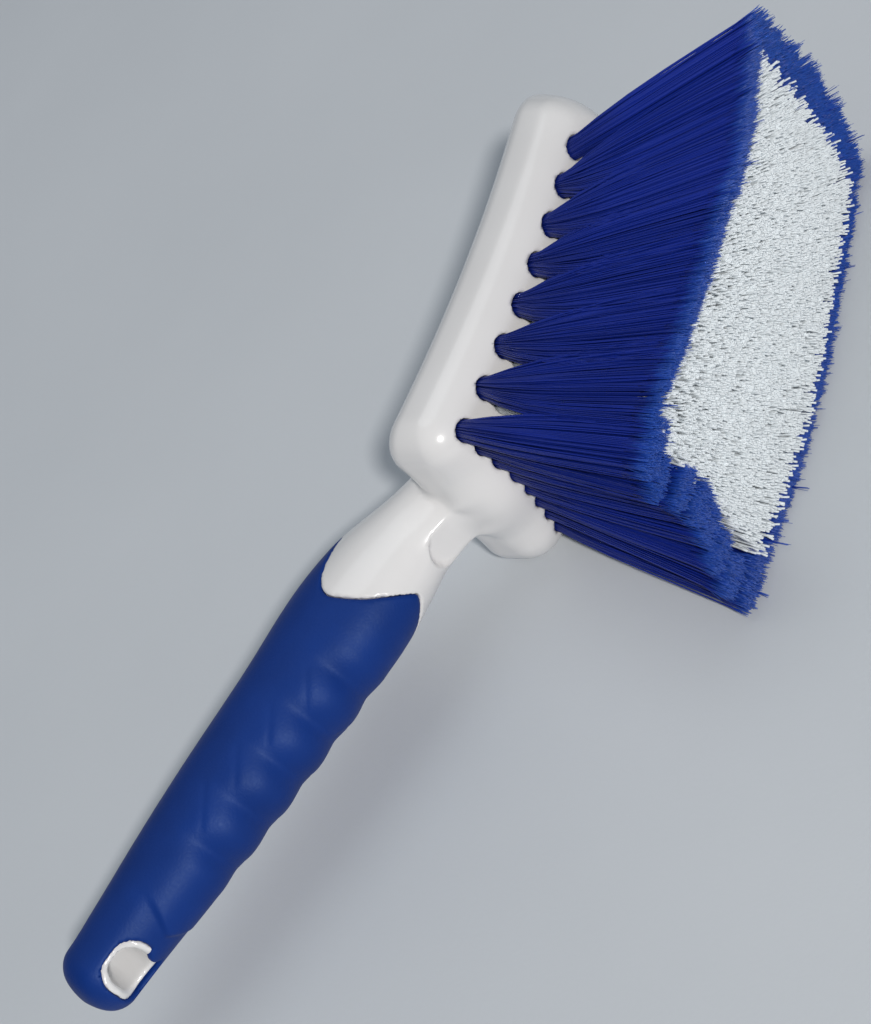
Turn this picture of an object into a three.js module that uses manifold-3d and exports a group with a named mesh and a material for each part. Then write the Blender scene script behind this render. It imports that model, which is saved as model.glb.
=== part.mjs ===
// Wheel brush: a one-piece moulded head, neck and handle core, an overmoulded grip, and flared bristle tufts.
// Millimetres, +Z up. It lies on its side: +X runs from the handle to the toe, and the bristles point to -Y.
import * as THREE from "three";
import { mergeVertices } from "three/addons/utils/BufferGeometryUtils.js";
import Module from "manifold-3d";

const wasm = await Module();
wasm.setup();

// ---- Driving dimensions ----
// Tuft grid, measured on the bristle face, with the heel row (nearest the handle) at x = 0.
const ROWS = 8; // along the head
const COLUMNS = 8; // across the head
const ROW_PITCH = 12;
const COLUMN_PITCH = 5.9;
const HOLE_RADIUS = 2.75;
const HOLE_DEPTH = 11;
const GAP = 0.3; // clearance between neighbouring pieces

// Tufts, from the face to the trimmed tips.
const TUFT_LENGTH = 56.2; // at the middle of the head
const TIP_RISE_UP = 2.8; // how much further out the trimmed face is along its upper side
const TIP_RISE_DOWN = -1.5; // and along its lower side, where it is further in
const TIP_DROP_TOE = 12; // how much further in the trimmed face is at the toe, where the tufts splay most
const TIP_DROP_HEEL = -0.5; // and at the heel, where it is a little further out
const TOE_ARCH = 5; // the middle tufts of the toe reach this much further along than its corners
const TIP_PITCH_TOE = 17; // spacing of the tips along the head, from its middle to the toe
const TIP_PITCH_HEEL = 15.1;
const TIP_PITCH_UP = 7.9; // spacing across the head in the upper half, free to spread
const TIP_PITCH_DOWN = 7.1; // lower half, pressed flat by the surface it lies on
const TUFT_BURIED = 9; // length of a tuft inside its hole
const TUFT_STRAIGHT = 2.5; // a tuft leaves its hole straight for this long
const TUFT_SIDES = 8;
const CELL_FILL = 0.475; // half of a tuft's share of the grid at the tips, less the gap

// Head block.
const GRID_LENGTH = ROW_PITCH * (ROWS - 1);
const GRID_WIDTH = COLUMN_PITCH * (COLUMNS - 1);
const HEEL_X = -10;
const TOE_X = 104.5;
const HEAD_HALF_WIDTH = 28.7;
const HEAD_THICKNESS = 22.8;
const FACE_SAG_ALONG = 2.3; // rise of the curved face at the first and last row
const FACE_SAG_ACROSS = 2.6; // rise of the curved face at the outer columns
const BACK_CROWN = 2.5;
const EDGE_RADIUS = 6.5;
const HEEL_CORNER = 10;
const HEEL_LOBE = 1.6; // the heel bulges towards the handle on both sides of its middle
const HEEL_LOBE_AT = 6;
const HEEL_LOBE_REACH = 18; // half width of one bulge
const TOE_CORNER = 14;
const TOE_RAKE = 7; // the toe leans out from the bristle face to the back

// Handle: a straight axis that leans away from the bristles. s is the distance along it from the grip's
// front end.
const HANDLE_START = new THREE.Vector2(-33, 38.2);
const HANDLE_LEAN = THREE.MathUtils.degToRad(19.7);
const HANDLE_END = 119;
const DEPTH_TO_WIDTH = 1.18; // the handle is deeper than it is wide
const NECK_AXIS = [
  [2, 17],
  [-8, 24.2],
  [-16, 29.5],
]; // x, y of the neck's curve from inside the head to the handle
const HALF_WIDTHS = [
  [-20, 11.4],
  [0, 12.9],
  [12, 13.2],
  [35, 12.7],
  [60, 12.2],
  [80, 11.3],
  [98, 10],
  [110, 9.4],
]; // s, half width of the grip
const NECK_HALF_WIDTHS = [9.5, 10.2, 11];
const FRONT_SWELL = 1.6; // extra depth on the bristle side, fading out along the grip
const FRONT_SWELL_END = 85;
const END_ROUND = 7; // length of the rounded end of the handle
const GRIP_THICKNESS = 2.2;
const GRIP_EDGE = [
  [-90, -13],
  [-67.5, -11.7],
  [-45, -8],
  [-22.5, -0.2],
  [0, 6.3],
  [22.5, 6.2],
  [45, 3.1],
  [67.5, -2.2],
  [90, -7.2],
]; // degrees from the side of the handle towards the bristle side, s of the grip's front edge there
const CORE_START = -15; // inside the neck
const CORE_SPLIT = 78; // the core's end, which carries the hang hole, is a solid of its own beyond this
const FINGER_FIRST = 21.2;
const FINGER_PITCH = 12.9;
const FINGER_VALLEYS = 5;
const FINGER_DEPTH = 1.9;
const HANG_STEP = 91; // the underside steps down here, round the hang hole
const HANG_STEP_DEPTH = 1.2;

// Hang hole, through the handle from the bristle side to the back.
const HANG_S = 106;
const HANG_LENGTH = 10;
const HANG_WIDTH = 10;
const HANG_COLLAR = 2; // the grip stands back from the hole by this much

// ---- Materials ----
const bodyPlastic = new THREE.MeshStandardMaterial({ color: 0xe9e8e6, roughness: 0.22, metalness: 0 });
const gripRubber = new THREE.MeshStandardMaterial({ color: 0x16357f, roughness: 0.62, metalness: 0 });
const blueFilament = new THREE.MeshStandardMaterial({ color: 0x0d1f74, roughness: 0.5, metalness: 0 });
const whiteFilament = new THREE.MeshStandardMaterial({ color: 0xdedfe2, roughness: 0.5, metalness: 0 });

// ---- Solid helpers ----
// Skins a list of closed rings (arrays of Vector3, all the same length) and closes both ends.
function loft(rings) {
  const points = rings.flat();
  const count = rings[0].length;
  const triangles = [];
  for (let r = 0; r + 1 < rings.length; r++) {
    for (let k = 0; k < count; k++) {
      const a = r * count + k;
      const b = r * count + ((k + 1) % count);
      triangles.push(a, b, a + count, b, b + count, a + count);
    }
  }
  closeRing(points, triangles, 0, count, true);
  closeRing(points, triangles, (rings.length - 1) * count, count, false);
  const geometry = new THREE.BufferGeometry().setFromPoints(points);
  geometry.setIndex(triangles);
  return solid(geometry);
}

function closeRing(points, triangles, first, count, atStart) {
  const centre = new THREE.Vector3();
  for (let k = 0; k < count; k++) centre.addScaledVector(points[first + k], 1 / count);
  const hub = points.push(centre) - 1;
  for (let k = 0; k < count; k++) {
    const a = first + k;
    const b = first + ((k + 1) % count);
    triangles.push(...(atStart ? [hub, b, a] : [hub, a, b]));
  }
}

// A closed three.js geometry as a manifold-3d solid, whichever way its faces were wound.
function solid(geometry) {
  const bare = geometry.clone();
  bare.deleteAttribute("normal");
  bare.deleteAttribute("uv");
  const merged = mergeVertices(bare, 1e-4);
  const vertProperties = new Float32Array(merged.attributes.position.array);
  const triVerts = new Uint32Array(merged.index.array);
  const made = new wasm.Manifold(new wasm.Mesh({ numProp: 3, vertProperties, triVerts }));
  if (made.volume() > 0) return made;
  return new wasm.Manifold(new wasm.Mesh({ numProp: 3, vertProperties, triVerts: triVerts.reverse() }));
}

function meshOf(name, made, material) {
  const data = made.getMesh();
  const geometry = new THREE.BufferGeometry();
  geometry.setAttribute("position", new THREE.BufferAttribute(data.vertProperties, 3));
  geometry.setIndex(new THREE.BufferAttribute(data.triVerts, 1));
  const flat = geometry.toNonIndexed();
  flat.computeVertexNormals();
  const mesh = new THREE.Mesh(flat, material);
  mesh.name = name;
  return mesh;
}

// ---- The curved bristle face and the tips ----
function sagAlong(x) {
  return FACE_SAG_ALONG * ((x - GRID_LENGTH / 2) / (GRID_LENGTH / 2)) ** 2;
}

function faceY(x, z) {
  return sagAlong(x) + FACE_SAG_ACROSS * (z / (GRID_WIDTH / 2)) ** 2;
}

// row and column may be fractions, for points between tuft centres.
function rootPoint(row, column) {
  const x = ROW_PITCH * row;
  const z = COLUMN_PITCH * (column - (COLUMNS - 1) / 2);
  return new THREE.Vector3(x, faceY(x, z), z);
}

function tipPoint(row, column) {
  const across = column - (COLUMNS - 1) / 2;
  const along = row - (ROWS - 1) / 2;
  const drop = (along > 0 ? TIP_DROP_TOE : TIP_DROP_HEEL) * (2 * along / ROWS) ** 2;
  const rise = (across > 0 ? TIP_RISE_UP : TIP_RISE_DOWN) * (2 * across / COLUMNS) ** 2;
  const pitch = along > 0 ? TIP_PITCH_TOE : TIP_PITCH_HEEL;
  const arch = TOE_ARCH * Math.max(0, 2 * along / ROWS) ** 6 * (1 - (2 * across / COLUMNS) ** 2);
  return new THREE.Vector3(
    GRID_LENGTH / 2 + along * pitch + arch,
    drop - rise - TUFT_LENGTH,
    across * (across > 0 ? TIP_PITCH_UP : TIP_PITCH_DOWN),
  );
}

function tuftDirection(row, column) {
  return tipPoint(row, column).sub(rootPoint(row, column)).normalize();
}

// ---- Tufts ----
// A round root in its hole, spreading to its share of the trimmed face, which is down and up across the head.
function tuft(row, column, down = CELL_FILL, up = CELL_FILL) {
  const root = rootPoint(row, column);
  const direction = tuftDirection(row, column);
  const radius = HOLE_RADIUS - GAP;
  const lengthwise = new THREE.Vector3(1, 0, 0);
  const sideways = new THREE.Vector3(0, 0, 1);
  const buried = [];
  const clear = [];
  const tip = [];
  for (let k = 0; k < TUFT_SIDES; k++) {
    const angle = (2 * Math.PI * (k + 0.5)) / TUFT_SIDES;
    const around = root
      .clone()
      .addScaledVector(lengthwise, radius * Math.cos(angle))
      .addScaledVector(sideways, radius * Math.sin(angle));
    buried.push(around.clone().addScaledVector(direction, -TUFT_BURIED));
    clear.push(around.clone().addScaledVector(direction, TUFT_STRAIGHT));
    const along = THREE.MathUtils.clamp(1.3 * Math.cos(angle), -1, 1);
    const across = THREE.MathUtils.clamp(1.3 * Math.sin(angle), -1, 1);
    tip.push(tipPoint(row + along * CELL_FILL, column + across * (across > 0 ? up : down)));
  }
  return loft([buried, clear, tip]);
}

function tuftHole(row, column) {
  const direction = tuftDirection(row, column);
  const drill = new THREE.CylinderGeometry(HOLE_RADIUS, HOLE_RADIUS, 2 * HOLE_DEPTH, TUFT_SIDES);
  drill.rotateY(Math.PI / TUFT_SIDES);
  drill.applyQuaternion(
    new THREE.Quaternion().setFromUnitVectors(new THREE.Vector3(0, -1, 0), direction),
  );
  drill.translate(...rootPoint(row, column).toArray());
  return solid(drill);
}

// ---- Head block ----
// Half width and end inset at a distance from the head's end, for a rounded corner.
function cornerDrop(distance, radius) {
  if (distance >= radius) return 0;
  return radius - Math.sqrt(radius ** 2 - (radius - distance) ** 2);
}

function heelLobe(x, z) {
  const off = (Math.abs(z) - HEEL_LOBE_AT) / HEEL_LOBE_REACH;
  return HEEL_LOBE * Math.max(0, 1 - off ** 2) * (1 - THREE.MathUtils.smoothstep(x, HEEL_X, 15));
}

function headRing(x) {
  const fromHeel = x - HEEL_X;
  const fromToe = TOE_X - x;
  const halfWidth =
    HEAD_HALF_WIDTH - cornerDrop(fromHeel, HEEL_CORNER) - cornerDrop(fromToe, TOE_CORNER);
  const inset =
    (cornerDrop(fromHeel, EDGE_RADIUS) + cornerDrop(fromToe, EDGE_RADIUS)) / HEAD_THICKNESS;
  return roundedSquare(halfWidth).map(([across, share]) => {
    const z = halfWidth * across;
    const level = inset + share * (1 - 2 * inset);
    const front = faceY(x, z);
    const back = sagAlong(x) + HEAD_THICKNESS + BACK_CROWN * (1 - (z / HEAD_HALF_WIDTH) ** 2);
    const rake = TOE_RAKE * (1 - level) ** 2 * THREE.MathUtils.smoothstep(x, GRID_LENGTH, TOE_X);
    return new THREE.Vector3(x - rake - heelLobe(x, z), front + level * (back - front), z);
  });
}

// Points round a rounded rectangle: [-1..1 across, 0..1 from the face to the back].
function roundedSquare(halfWidth) {
  const corner = EDGE_RADIUS / halfWidth;
  const cornerShare = EDGE_RADIUS / HEAD_THICKNESS;
  const arcSteps = 3;
  const flatSteps = 4;
  const points = [];
  const quarters = [
    [1, 1],
    [-1, 1],
    [-1, 0],
    [1, 0],
  ]; // corner by corner: side, back or face
  quarters.forEach(([side, end], quarter) => {
    for (let k = 0; k <= arcSteps; k++) {
      const angle = (Math.PI / 2) * (quarter + k / arcSteps);
      points.push([
        side * (1 - corner) + corner * Math.cos(angle),
        Math.abs(end - cornerShare) + cornerShare * Math.sin(angle),
      ]);
    }
    if (quarter % 2 === 0) {
      const flat = 1 - corner;
      for (let k = 1; k < flatSteps; k++) points.push([side * flat * (1 - (2 * k) / flatSteps), end]);
    }
  });
  return points;
}

function headBlock() {
  const cornerSteps = [0, 0.12, 0.35, 0.65, 1];
  const middle = [14, 28, 42, 56, 70, 80];
  const stations = [
    ...cornerSteps.map((t) => HEEL_X + 0.1 + HEEL_CORNER * t),
    ...middle,
    ...cornerSteps.map((t) => TOE_X - 0.1 - TOE_CORNER * t).reverse(),
  ];
  return loft(stations.map(headRing));
}

// ---- Neck, handle core and grip ----
const axisDirection = new THREE.Vector3(-Math.cos(HANDLE_LEAN), Math.sin(HANDLE_LEAN), 0);
const bristleSide = new THREE.Vector3(-Math.sin(HANDLE_LEAN), -Math.cos(HANDLE_LEAN), 0);

function axisPoint(s) {
  return new THREE.Vector3(HANDLE_START.x, HANDLE_START.y, 0).addScaledVector(axisDirection, s);
}

// Half width of the grip at s, straight between the listed sections and round at the end.
function halfWidthAt(s) {
  const last = HALF_WIDTHS.length - 1;
  let i = 0;
  while (i < last - 1 && s > HALF_WIDTHS[i + 1][0]) i++;
  const [s0, w0] = HALF_WIDTHS[i];
  const [s1, w1] = HALF_WIDTHS[i + 1];
  return w0 + ((w1 - w0) * (s - s0)) / (s1 - s0);
}

function endFactor(s, end) {
  const into = THREE.MathUtils.clamp((s - (end - END_ROUND)) / END_ROUND, 0, 0.985);
  return Math.sqrt(1 - into ** 2);
}

function fingerDip(s) {
  const from = s - FINGER_FIRST + FINGER_PITCH / 2;
  if (from < 0 || from > FINGER_PITCH * FINGER_VALLEYS) return 0;
  return (FINGER_DEPTH * (1 - Math.cos((2 * Math.PI * from) / FINGER_PITCH))) / 2;
}

const HANDLE_SIDES = 16;

// One section of the handle, inset all round by skin. offset(angle) shifts each point along the axis.
function handleRing(s, skin, end, offset = () => 0) {
  const ring = [];
  for (let k = 0; k < HANDLE_SIDES; k++) {
    const angle = (2 * Math.PI * k) / HANDLE_SIDES; // 0 is the upper side, a quarter turn is the bristle side
    const toFront = Math.sin(angle);
    const at = s + offset(angle);
    const shrink = endFactor(at, end);
    const width = (halfWidthAt(at) - skin) * shrink;
    const dip = toFront > 0 ? fingerDip(at) + (at > HANG_STEP ? HANG_STEP_DEPTH : 0) : 0;
    const swell = toFront > 0 ? FRONT_SWELL * (1 - THREE.MathUtils.smoothstep(at, 30, FRONT_SWELL_END)) : 0;
    const depth = (halfWidthAt(at) * DEPTH_TO_WIDTH + swell - skin - dip) * shrink;
    ring.push(
      axisPoint(at)
        .addScaledVector(bristleSide, depth * toFront)
        .addScaledVector(new THREE.Vector3(0, 0, 1), width * Math.cos(angle)),
    );
  }
  return ring;
}

// The grip's front edge, the same on both sides of the middle plane.
function gripEdge(angle) {
  const degrees = THREE.MathUtils.radToDeg(Math.asin(Math.sin(angle)));
  const i = Math.min(GRIP_EDGE.length - 2, Math.floor((degrees + 90) / 22.5));
  const [from, s0] = GRIP_EDGE[i];
  const [to, s1] = GRIP_EDGE[i + 1];
  return s0 + ((s1 - s0) * (degrees - from)) / (to - from);
}

// The grip's outer shape, before the core is taken out of it.
function gripShape() {
  const step = FINGER_PITCH / 4;
  const rings = [handleRing(0, 0, HANDLE_END, gripEdge)];
  for (let s = FINGER_FIRST - 2 * step; s < HANG_STEP - 1; s += step) {
    rings.push(handleRing(s, 0, HANDLE_END));
  }
  for (const s of [HANG_STEP - 0.6, HANG_STEP + 0.6, 99, 110, 113, 115.5, 117, HANDLE_END]) {
    rings.push(handleRing(s, 0, HANDLE_END));
  }
  return loft(rings);
}

// The core inside the grip, inset by skin, between two stations.
function coreShape(skin, from, to) {
  const end = HANDLE_END - skin;
  const between = [5, 20, 40, 60, CORE_SPLIT, 98, 107.5, 111, 113.5].filter((s) => s > from && s < to);
  const stations = [from, ...between, Math.min(to, end)];
  return loft(stations.map((s) => handleRing(s, skin, end)));
}

// The neck at full size, from inside the head to the grip's front edge.
function neckShape() {
  const rings = NECK_AXIS.map(([x, y], i) => {
    const next = i + 1 < NECK_AXIS.length ? NECK_AXIS[i + 1] : [HANDLE_START.x, HANDLE_START.y];
    const along = new THREE.Vector3(next[0] - x, next[1] - y, 0).normalize();
    const front = new THREE.Vector3(-along.y, along.x, 0);
    return Array.from({ length: HANDLE_SIDES }, (_, k) => {
      const angle = (2 * Math.PI * k) / HANDLE_SIDES;
      return new THREE.Vector3(x, y, 0)
        .addScaledVector(front, NECK_HALF_WIDTHS[i] * DEPTH_TO_WIDTH * Math.sin(angle))
        .addScaledVector(new THREE.Vector3(0, 0, 1), NECK_HALF_WIDTHS[i] * Math.cos(angle));
    });
  });
  rings.push(handleRing(-GAP, 0, HANDLE_END, gripEdge));
  return loft(rings);
}

// A rounded slot through the handle at the hang hole, grown by extra on every side.
function hangSlot(extra) {
  const length = HANG_LENGTH + 2 * extra;
  const width = HANG_WIDTH + 2 * extra;
  const radius = 0.45 * width;
  const outline = new THREE.Shape();
  outline.absarc(length / 2 - radius, width / 2 - radius, radius, 0, Math.PI / 2);
  outline.absarc(radius - length / 2, width / 2 - radius, radius, Math.PI / 2, Math.PI);
  outline.absarc(radius - length / 2, radius - width / 2, radius, Math.PI, 1.5 * Math.PI);
  outline.absarc(length / 2 - radius, radius - width / 2, radius, 1.5 * Math.PI, 2 * Math.PI);
  const slot = new THREE.ExtrudeGeometry(outline, { depth: 60, bevelEnabled: false, curveSegments: 3 });
  slot.translate(0, 0, -30);
  const turn = new THREE.Matrix4().makeBasis(axisDirection, new THREE.Vector3(0, 0, -1), bristleSide);
  slot.applyMatrix4(turn);
  slot.translate(...axisPoint(HANG_S).toArray());
  return solid(slot);
}

function gridOf(visit) {
  for (let row = 0; row < ROWS; row++) {
    for (let column = 0; column < COLUMNS; column++) visit(row, column);
  }
}

const isEdge = (row, column) =>
  row === 0 || row === ROWS - 1 || column === 0 || column === COLUMNS - 1;

function makeBody() {
  let body = headBlock().add(neckShape()).add(coreShape(GRIP_THICKNESS + GAP, CORE_START, CORE_SPLIT));
  const holes = [];
  gridOf((row, column) => holes.push(tuftHole(row, column)));
  body = body.subtract(wasm.Manifold.union(holes));
  return meshOf("brush_body", body, bodyPlastic);
}

function makeCoreEnd() {
  const end = coreShape(GRIP_THICKNESS + GAP, CORE_SPLIT + GAP, HANDLE_END).subtract(hangSlot(0));
  return meshOf("core_end", end, bodyPlastic);
}

function makeGrip() {
  const core = coreShape(GRIP_THICKNESS, CORE_START, HANDLE_END);
  const grip = gripShape().subtract(core).subtract(hangSlot(HANG_COLLAR));
  return meshOf("handle_grip", grip, gripRubber);
}

function edgeTuftName(row, column) {
  if (row === 0) return "blue_tuft_heel_" + (column + 1);
  if (row === ROWS - 1) return "blue_tuft_toe_" + (column + 1);
  return (column === 0 ? "blue_tuft_lower_" : "blue_tuft_upper_") + row;
}

// ---- Assembly ----
const brush = new THREE.Group();
brush.add(makeBody(), makeCoreEnd(), makeGrip());

// Blue tufts all round the edge, each its own bundle.
gridOf((row, column) => {
  if (isEdge(row, column)) brush.add(meshOf(edgeTuftName(row, column), tuft(row, column), blueFilament));
});

// White tufts inside, each row across the head joined where its tips grow together.
const TOGETHER = 0.57;
for (let row = 1; row < ROWS - 1; row++) {
  const tufts = [];
  for (let column = 1; column < COLUMNS - 1; column++) {
    const down = column === 1 ? CELL_FILL : TOGETHER;
    const up = column === COLUMNS - 2 ? CELL_FILL : TOGETHER;
    tufts.push(tuft(row, column, down, up));
  }
  brush.add(meshOf("white_tuft_row_" + row, wasm.Manifold.union(tufts), whiteFilament));
}

// The origin is the middle of the footprint, on the surface that the brush lies on.
const box = new THREE.Box3().setFromObject(brush);
const middle = box.getCenter(new THREE.Vector3());
brush.position.set(-middle.x, -middle.y, -box.min.z);

export default brush;
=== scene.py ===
"""Wheel brush on a pale floor: glossy white moulding, leathery blue grip, flared blue and white bristles.

Shapes are worked out in millimetres in the grid frame of the CAD part: x runs along the head from the
heel row of tufts (x = 0) to the toe, y from the bristle face to the back, z across, 0 at the middle plane.
ORIGIN moves that frame into the row frame.
"""

import bpy
import numpy as np
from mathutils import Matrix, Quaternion, Vector


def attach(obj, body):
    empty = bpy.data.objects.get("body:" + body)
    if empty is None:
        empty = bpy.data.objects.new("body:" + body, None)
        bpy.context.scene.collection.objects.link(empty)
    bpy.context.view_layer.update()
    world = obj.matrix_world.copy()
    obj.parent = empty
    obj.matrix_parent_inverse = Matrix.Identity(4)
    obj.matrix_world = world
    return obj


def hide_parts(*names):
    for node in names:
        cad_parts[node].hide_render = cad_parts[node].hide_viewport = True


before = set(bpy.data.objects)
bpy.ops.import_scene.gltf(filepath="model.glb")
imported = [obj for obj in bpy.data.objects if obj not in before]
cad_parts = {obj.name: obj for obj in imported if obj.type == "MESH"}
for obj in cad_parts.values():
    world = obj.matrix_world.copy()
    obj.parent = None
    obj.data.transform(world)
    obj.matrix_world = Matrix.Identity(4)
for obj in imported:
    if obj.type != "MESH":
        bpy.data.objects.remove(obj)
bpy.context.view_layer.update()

MM = 0.001
ORIGIN = np.array([15.605, -13.531, 28.7])  # the grid frame's origin in the row frame

# ---- Tufts, as in the CAD part ----
ROWS = COLUMNS = 8
ROW_PITCH = 12.0
COLUMN_PITCH = 5.9
HOLE_RADIUS = 2.75
HOLE_DEPTH = 5.0  # as deep as can be seen
HOLE_EDGE = 0.6
HOLES_REACH = 14.0  # no hole reaches further back than this
# A tuft leans out of its hole, so at its root it is this much longer along the head than across it.
HEEL_STRETCH, TOE_STRETCH = 1.1, 1.45
GRID_LENGTH = ROW_PITCH * (ROWS - 1)
GRID_WIDTH = COLUMN_PITCH * (COLUMNS - 1)
TUFT_LENGTH = 56.2
# How much longer the tufts get towards the upper and the lower side, and how much shorter towards each end.
TIP_RISE_UP, TIP_RISE_DOWN = 2.8, -1.5
TIP_DROP_TOE, TIP_DROP_HEEL = 12.0, -0.5
TIP_PITCH_TOE, TIP_PITCH_HEEL = 17.0, 15.1
TIP_PITCH_UP, TIP_PITCH_DOWN = 7.9, 7.1
TOE_ARCH = 5.0  # the middle of the toe's row of tips stands out this far
# The lower tips are shorter round one place: how much, rows from the middle, rows either way.
FAR_TRIM, FAR_TRIM_AT, FAR_TRIM_REACH = 4.0, 1.7, 1.7

# ---- Head block ----
HEEL_X, TOE_X = -10.0, 104.5
HEAD_HALF_WIDTH = 28.7
HEAD_THICKNESS = 22.8
SAG_ALONG, SAG_ACROSS = 2.3, 2.6
BACK_CROWN = 2.5
SIDE_CROWN = 0.9  # the sides bulge slightly
EDGE_RADIUS = 6.5
HEEL_EDGE_EXTRA = 4.0  # and more between the lobes
HEEL_CORNER, TOE_CORNER = 9.5, 14.0
TOE_RAKE = 7.0
# The heel bulges towards the handle in two lobes, and its wall draws in between them.
HEEL_LOBE, HEEL_LOBE_AT, HEEL_LOBE_REACH = 0.8, 6.0, 18.0
HEEL_SHAPE_X = 15.0  # where that starts
WEB_DEPTH, WEB_EDGE, WEB_MIDDLE, WEB_LEVEL = 5.0, 6.0, 1.0, 0.6
# Between the lobes the neck ends in a smooth hump: its middle and its half axes.
HUMP_AT, HUMP_SIZE = (-2.0, 14.0, 0.0), (10.2, 11.0, 10.0)
HUMP_FILLET = 6.0
# The fillet between the head and the neck, tight at the back and wide towards the bristles.
HEEL_FILLET, HEEL_FILLET_EXTRA, HEEL_FILLET_Y = 1.2, 4.0, (19.0, 12.0)

# ---- Neck and handle ----
HANDLE_X, HANDLE_Y = -33.0, 38.2
LEAN = np.radians(19.7)
NECK_BEND = 0.006  # how fast the neck's axis curves down into the head
NECK_BEND_LENGTH = 17.0  # and then it runs on straight
BEND_GAIN, BEND_GAIN_LENGTH = 0.004, 30.0  # the bent axis is this much longer than the straight one
NECK_ROOT_X = -3.0  # the neck ends here, inside the head
HANDLE_END = 119.0
DEPTH_TO_WIDTH = 1.18
# Extra depth: how much, and from where to where along the handle it comes and goes.
FRONT_SWELL, FRONT_SWELL_IN, FRONT_SWELL_OUT = 1.6, (-34, -12), (85, 30)  # on the bristle side
NECK_SWELL, NECK_SWELL_IN = 2.0, (-16, -28)  # on the bristle side of the neck
BACK_SWELL, BACK_SWELL_IN, BACK_SWELL_OUT = 1.3, (-24, -4), (36, 10)  # on the back of the grip's front
SWELL_BLEND = 6.0
# Distance along the handle from the grip's front end, half width.
HALF_WIDTHS = [
    (-62, 9.0), (-36, 9.1), (-24, 9.2), (-12, 11.3), (0, 13.2), (12, 13.4), (35, 12.7),
    (60, 12.2), (80, 11.3), (98, 10.0), (110, 9.4), (125, 9.0),
]  # fmt: skip
WIDTH_EASE = 8.0
END_ROUND = 7.5
GRIP_THICKNESS = 2.2
WAIST_DEPTH, WAIST_IN = 1.4, (14, 20)  # the core is shallower under the finger waves
WAIST_BLEND = 4.0
SEAM = 0.12
# Degrees from the side of the handle towards the bristle side, place of the grip's front edge there.
GRIP_EDGE = [
    (-90, -13), (-60, -11), (-33, -5.1), (-20, 0.8), (-7, 5.2), (9, 7.2),
    (29, 5.3), (47, 2.7), (63, -0.9), (81, -5.4), (90, -7.2),
]  # fmt: skip
EDGE_EASE = 7.0
NECK_EDGE, GRIP_EDGE_RADIUS, GRIP_END_EDGE, OPENING_EDGE = 0.3, 0.7, 3.0, 0.8
FINGER_FIRST, FINGER_PITCH, FINGER_VALLEYS, FINGER_DEPTH = 21.2, 12.9, 5, 2.2
FINGER_FRONT = (0.1, 0.85)  # how the waves grow from the middle of the side to the bristle side
VALLEY_ROUND = 0.03
# Shallow creases on each side of the grip, from and to: distance along, degrees.
CREASES = [
    ((22.7, 33), (34.5, 65)),
    ((35.2, 26), (46.0, 53)),
    ((47.2, 20), (58.6, 50)),
    ((59.0, 14), (71.5, 48)),
]
CREASE_DEPTH, CREASE_WIDTH, CREASE_FADE = 0.16, 0.7, 3.0
LIP_SHARE, LIP_OFF, LIP_WIDTH = 0.45, 1.5, 1.2  # a low lip runs beside each crease
ARC_OF_DEGREE = 0.22  # surface of the grip for one degree
# A shallow round-ended hollow runs down the bristle side of the neck from between the lobes.
SCOOP_AT, SCOOP_LENGTH, SCOOP_WIDTH, SCOOP_DEPTH = -30.0, 14.0, 7.6, 2.2
SCOOP_RIM = (0.06, -0.1)
SCOOP_CLEARANCE = 4.0  # how far the cut stands clear of the neck away from the hollow
# Towards its end the grip is sunk on the bristle side, round the slot that the brush hangs by.
HANG_STEP, HANG_STEP_DEPTH, HANG_STEP_FRONT = 95.0, 1.3, (0.35, 0.75)
HANG_S, HANG_LENGTH, HANG_WIDTH = 106.0, 10.0, 10.0
HANG_CORNER = 0.75  # corner radius in half widths
HANG_EDGE = 1.8
HANG_COLLAR, COLLAR_SUNK = 2.0, 0.5  # the core shows this wide round the slot, this far down
# A round tab of the grip reaches into the opening on the bristle side.
TAB_S, TAB_Z, TAB_RADIUS, TAB_OFF = 98.9, -2.5, 2.9, 4.0

# ---- Mesh sizes ----
VOXEL = 0.7
PROJECTION_STEPS = 3
SLOPE_STEP = 0.04
LEAST_SLOPE = 0.05
BODY_BOX = (-151, -4, -30.1), (107, 96, 30.1)
GRIP_BOX = (-153, 15, -15.2), (-11, 98, 15.2)


# ---- Shaping functions ----
def smoothstep(a, b, x):
    t = np.clip((x - a) / (b - a), 0, 1)
    return t * t * (3 - 2 * t)


def eased(table, x, reach):
    """A table of (x, value) points, read off with its corners eased over reach."""
    at, value = np.array(table, float).T
    return sum(np.interp(x + shift * reach, at, value) for shift in (-1, -0.5, 0, 0.5, 1)) / 5


def union(a, b, radius):
    """The nearer of two fields, with a fillet where they meet."""
    h = np.maximum(radius - np.abs(a - b), 0) / radius
    return np.minimum(a, b) - h * h * radius / 4


def common(a, b, radius):
    return -union(-a, -b, radius)


def rounded_box(a, b, radius):
    """Where both fields are negative, with a round edge between the two faces."""
    outside = np.hypot(np.maximum(a + radius, 0), np.maximum(b + radius, 0))
    return outside + np.minimum(np.maximum(a, b) + radius, 0) - radius


def sag_along(x):
    return SAG_ALONG * ((x - GRID_LENGTH / 2) / (GRID_LENGTH / 2)) ** 2


def face_y(x, z):
    """The bristle face, bowed both along and across the head."""
    return sag_along(x) + SAG_ACROSS * (z / (GRID_WIDTH / 2)) ** 2


def root_point(row, column):
    x = ROW_PITCH * np.asarray(row, float)
    z = COLUMN_PITCH * (np.asarray(column, float) - (COLUMNS - 1) / 2)
    return np.stack([x, face_y(x, z), z], -1)


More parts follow.
